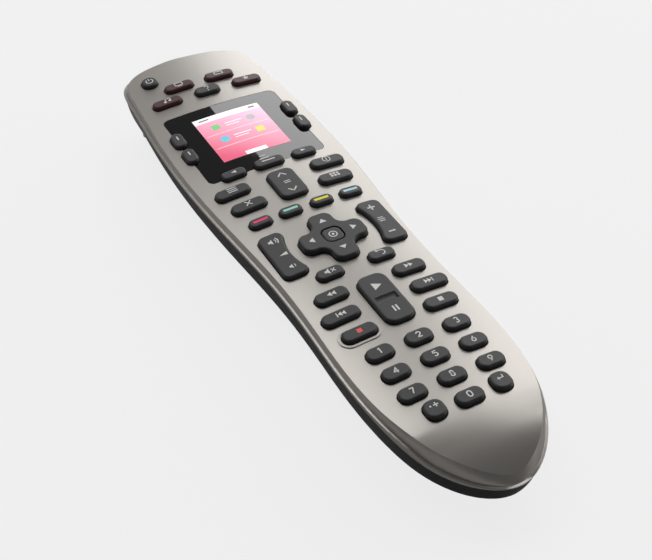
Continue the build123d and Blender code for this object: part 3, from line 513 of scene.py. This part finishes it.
def screen_material():
    """Soft pink wash that lightens towards the far right corner."""
    mat = glow("screen wash", (0.7, 0.2, 0.35), 0.55)
    tree = mat.node_tree
    place = tree.nodes.new("ShaderNodeTexCoord")
    split = tree.nodes.new("ShaderNodeSeparateXYZ")
    across = tree.nodes.new("ShaderNodeMath")
    across.operation = "MULTIPLY_ADD"
    across.inputs[1].default_value = WASH_ACROSS
    across.inputs[2].default_value = 0.0
    along = tree.nodes.new("ShaderNodeMath")
    along.operation = "MULTIPLY_ADD"
    along.inputs[1].default_value = WASH_ALONG
    shift = tree.nodes.new("ShaderNodeMath")
    shift.operation = "ADD"
    shift.inputs[1].default_value = WASH_START
    ramp = tree.nodes.new("ShaderNodeValToRGB")
    ramp.color_ramp.elements[0].position = 0.05
    ramp.color_ramp.elements[0].color = (0.74, 0.11, 0.20, 1.0)
    ramp.color_ramp.elements[1].position = 0.95
    ramp.color_ramp.elements[1].color = (1.0, 0.55, 0.70, 1.0)
    tree.links.new(place.outputs["Object"], split.inputs["Vector"])
    tree.links.new(split.outputs["X"], across.inputs[0])
    tree.links.new(split.outputs["Y"], along.inputs[0])
    tree.links.new(across.outputs["Value"], along.inputs[2])
    tree.links.new(along.outputs["Value"], shift.inputs[0])
    tree.links.new(shift.outputs["Value"], ramp.inputs["Fac"])
    shader = tree.nodes["Principled BSDF"]
    tree.links.new(ramp.outputs["Color"], shader.inputs["Base Color"])
    tree.links.new(ramp.outputs["Color"], shader.inputs["Emission Color"])
    return mat


wash = screen_material()
white_glow = glow("screen white", (1.0, 0.97, 0.97), 0.75)
near_y, far_y = SCREEN_Y - SCREEN_LENGTH / 2, SCREEN_Y + SCREEN_LENGTH / 2
picture_panel("screen picture", near_y, far_y - HEADER_LENGTH, wash)
picture_panel("screen header", far_y - HEADER_LENGTH, far_y, white_glow)


def print_screen(name, mat, lift, y, strokes):
    """Marks on the picture or on the lens, placed from the middle of the width and from y."""
    mark = Ink(name, "case", lambda x: lens_height(x) + lift, mat)
    draw(mark, 0, y, strokes)
    mark.done()


DIVIDER = SCREEN_WIDTH - 2.0  # length of the lines between the rows of tiles
print_screen("screen dividers", white_glow, MARK_LIFT, near_y, [
    ("bar", 0, 8.4, DIVIDER, 0.22), ("bar", 0, 16.8, DIVIDER, 0.22), ("bar", 0, 1.1, 8.5, 2.2)])
ROUND, SQUARE = ("disc", (1.8,)), ("bar", (3.2, 3.2))
TILES = (
    ("screen tile cyan", (0.15, 0.65, 0.80), -7.2, 12.6, ROUND),
    ("screen tile yellow", (0.95, 0.80, 0.15), 7.2, 12.6, SQUARE),
    ("screen tile green", (0.25, 0.65, 0.30), -7.2, 21.0, SQUARE),
    ("screen tile grey", (0.50, 0.50, 0.55), 7.2, 21.0, ROUND),
)
for name, color, x, y, (form, sizes) in TILES:
    print_screen(name, glow(name, color, 0.7), TILE_LIFT, near_y, [(form, x, y, *sizes)])
grey_glow = glow("screen grey", (0.25, 0.22, 0.25), 0.5)
print_screen("screen header marks", grey_glow, TILE_LIFT, far_y, [
    ("bar", -9.5, -1.6, 4.0, 0.7), ("bar", 10.3, -1.6, 2.6, 1.0)])
print_screen("screen lines", white_glow, TILE_LIFT, near_y, [
    ("bar", 0.2, 21.7, 7.0, 0.5), ("bar", -0.6, 20.2, 5.4, 0.4), ("bar", 0.2, 13.3, 7.0, 0.5),
    ("bar", -0.6, 11.8, 5.4, 0.4)])

# Two short printed bars on the lens below the screen
print_screen("lens print", ink, 0.0, 41.9, [("bar", 0, 0, 2.4, 0.5), ("bar", 0, -1.6, 3.8, 0.5)])

# Camera, as fitted to the photograph
IMAGE_WIDTH, IMAGE_HEIGHT = 652, 560
FOCAL_LENGTH = 1197.9  # in pixels of the image
SENSOR_WIDTH = 36.0
CAMERA_X, CAMERA_Y, CAMERA_OVER_FACE = -149.3, -277.38, 259.47
RIGHT = Vector((0.8758, -0.4826, -0.0006))
DOWN = Vector((-0.3255, -0.5898, -0.7390))
FORWARD = Vector((0.3563, 0.6475, -0.6737))
scene = bpy.context.scene
camera_data = bpy.data.cameras.new("camera")
camera = bpy.data.objects.new("camera", camera_data)
scene.collection.objects.link(camera)
scene.camera = camera
camera_data.sensor_width = SENSOR_WIDTH
camera_data.lens = FOCAL_LENGTH / IMAGE_WIDTH * SENSOR_WIDTH
camera_data.clip_start = 0.01
turn = Matrix((RIGHT, -DOWN, -FORWARD)).transposed()
place = Matrix.Translation(Vector((CAMERA_X, CAMERA_Y, CAMERA_OVER_FACE + FACE_TOP)) * MM)
camera.matrix_world = place @ turn.to_4x4()
scene.render.resolution_x = IMAGE_WIDTH
scene.render.resolution_y = IMAGE_HEIGHT
scene.view_settings.view_transform = "Standard"

# Pale floor, near white to the camera, that keeps a soft shadow
FLOOR_HALF = 1500.0
FLOOR_SHARE = 0.8  # share of what the camera sees of it that is plain white
FLOOR_DROP = 0.0002
floor_mat = material("pale floor", (0.55, 0.55, 0.55), 0.9, specular=0.1)
tree = floor_mat.node_tree
floor_path = tree.nodes.new("ShaderNodeLightPath")
floor_share = tree.nodes.new("ShaderNodeMath")
floor_share.operation = "MULTIPLY"
floor_share.inputs[1].default_value = FLOOR_SHARE
floor_white = tree.nodes.new("ShaderNodeEmission")
floor_white.inputs["Color"].default_value = (*WHITE, 1.0)
floor_blend = tree.nodes.new("ShaderNodeMixShader")
tree.links.new(floor_path.outputs["Is Camera Ray"], floor_share.inputs[0])
tree.links.new(floor_share.outputs["Value"], floor_blend.inputs["Fac"])
tree.links.new(tree.nodes["Principled BSDF"].outputs["BSDF"], floor_blend.inputs[1])
tree.links.new(floor_white.outputs["Emission"], floor_blend.inputs[2])
tree.links.new(floor_blend.outputs["Shader"], tree.nodes["Material Output"].inputs["Surface"])
floor_mesh = bpy.data.meshes.new("floor")
half = FLOOR_HALF * MM
floor_corners = [(-half, -half, 0), (half, -half, 0), (half, half, 0), (-half, half, 0)]
floor_mesh.from_pydata(floor_corners, [], [(0, 1, 2, 3)])
floor_mesh.materials.append(floor_mat)
floor = bpy.data.objects.new("floor", floor_mesh)
floor.location.z = -FLOOR_DROP
scene.collection.objects.link(floor)

# World: white to the camera, and a low fill for everything else
FILL = 0.10
world = bpy.data.worlds.new("world")
scene.world = world
world.use_nodes = True
tree = world.node_tree
tree.nodes.clear()
out = tree.nodes.new("ShaderNodeOutputWorld")
path = tree.nodes.new("ShaderNodeLightPath")
white = tree.nodes.new("ShaderNodeBackground")
white.inputs["Color"].default_value = (*WHITE, 1.0)
white.inputs["Strength"].default_value = 1.0
fill = tree.nodes.new("ShaderNodeBackground")
fill.inputs["Color"].default_value = (*WHITE, 1.0)
fill.inputs["Strength"].default_value = FILL
blend = tree.nodes.new("ShaderNodeMixShader")
tree.links.new(path.outputs["Is Camera Ray"], blend.inputs["Fac"])
tree.links.new(fill.outputs["Background"], blend.inputs[1])
tree.links.new(white.outputs["Background"], blend.inputs[2])
tree.links.new(blend.outputs["Shader"], out.inputs["Surface"])

LIGHTS_AIM = Vector((0, 0, 0.02))


def softbox(name, azimuth, elevation, distance, width, height, radiance):
    """Light in a direction seen from the object: azimuth from +Y towards +X."""
    az, el = math.radians(azimuth), math.radians(elevation)
    aside, up = distance * math.cos(el), distance * math.sin(el)
    position = Vector((aside * math.sin(az), aside * math.cos(az), up))
    data = bpy.data.lights.new(name, "AREA")
    data.shape = "RECTANGLE"
    data.size = width
    data.size_y = height
    data.energy = radiance * math.pi * width * height
    light = bpy.data.objects.new(name, data)
    light.location = position
    light.rotation_euler = (LIGHTS_AIM - position).to_track_quat("-Z", "Y").to_euler()
    scene.collection.objects.link(light)


# Azimuth and elevation in degrees; distance, width and height in metres; radiance
softbox("right low softbox", 52, 27, 1.3, 1.30, 0.60, 2.2)
softbox("right high softbox", 66, 50, 1.3, 0.70, 0.45, 2.2)
softbox("left high softbox", -8, 62, 1.3, 0.90, 0.70, 2.2)
softbox("left low softbox", -45, 30, 1.3, 0.70, 0.50, 1.2)
softbox("back strip", 10, 14, 1.3, 1.00, 0.36, 2.0)
softbox("right strip", 112, 14, 1.0, 0.8, 0.30, 2.4)
softbox("left strip", -105, 18, 1.2, 0.5, 0.4, 0.35)
